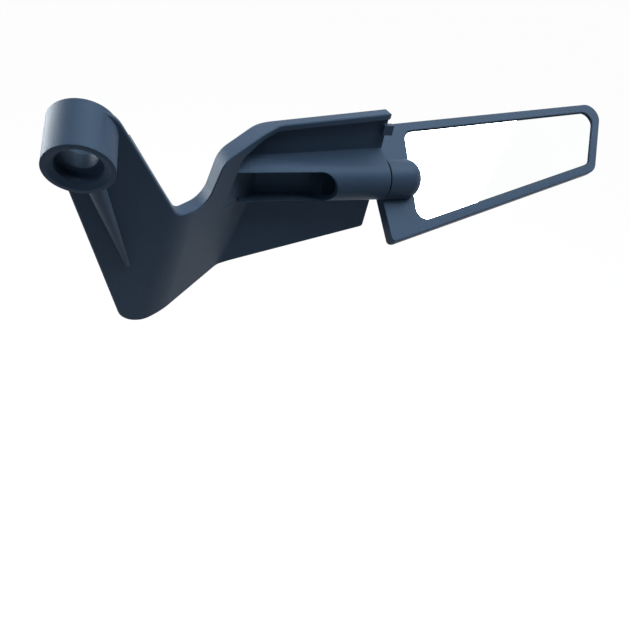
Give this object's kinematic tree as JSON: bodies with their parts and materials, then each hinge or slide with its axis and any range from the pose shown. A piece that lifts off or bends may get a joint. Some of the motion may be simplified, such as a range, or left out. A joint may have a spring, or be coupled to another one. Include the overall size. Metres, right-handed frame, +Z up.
{
  "type": "motorcycle mirror",
  "caption": "Slim wing-shaped motorcycle mirror: cast bracket with bolt boss and joggled arm, and a turning blade on a friction hinge that carries a recessed flat glass",
  "frame": {"origin": "centre of the bolt head's seat in the mounting boss, on the bolt hole's axis", "axes": "+X along the hinge axis towards the blade's tip, +Y towards the front, away from the glass when the blade is closed, +Z up"},
  "size_m": [0.2971, 0.0927, 0.1022],
  "materials": {
    "coated_casting": "matt blue-black coating on cast aluminium",
    "coated_blade": "matt blue-black coating on aluminium",
    "mirror_glass": "silvered flat glass",
    "adhesive_sheet": "black foam adhesive sheet",
    "steel_screw": "black oxide",
    "steel_washer": "zinc plated",
    "spring_steel": "phosphated spring steel",
    "nylon": "black nylon"
  },
  "bodies": {
    "bracket": {"bracket": "coated_casting"},
    "wing": {"wing_blade": "coated_blade", "mirror_glass": "mirror_glass", "glass_tape": "adhesive_sheet", "pivot_bolt": "steel_screw", "head_washer": "steel_washer", "disc_springs": "spring_steel", "friction_washer": "nylon"}
  },
  "joints": [
    {"name": "wing_turn", "type": "hinge", "parent": "bracket", "child": "wing", "pos_m": [0.12975, 0.0345, -0.0311], "axis": [1, 0, 0], "range_deg": [-70, 55]}
  ]
}
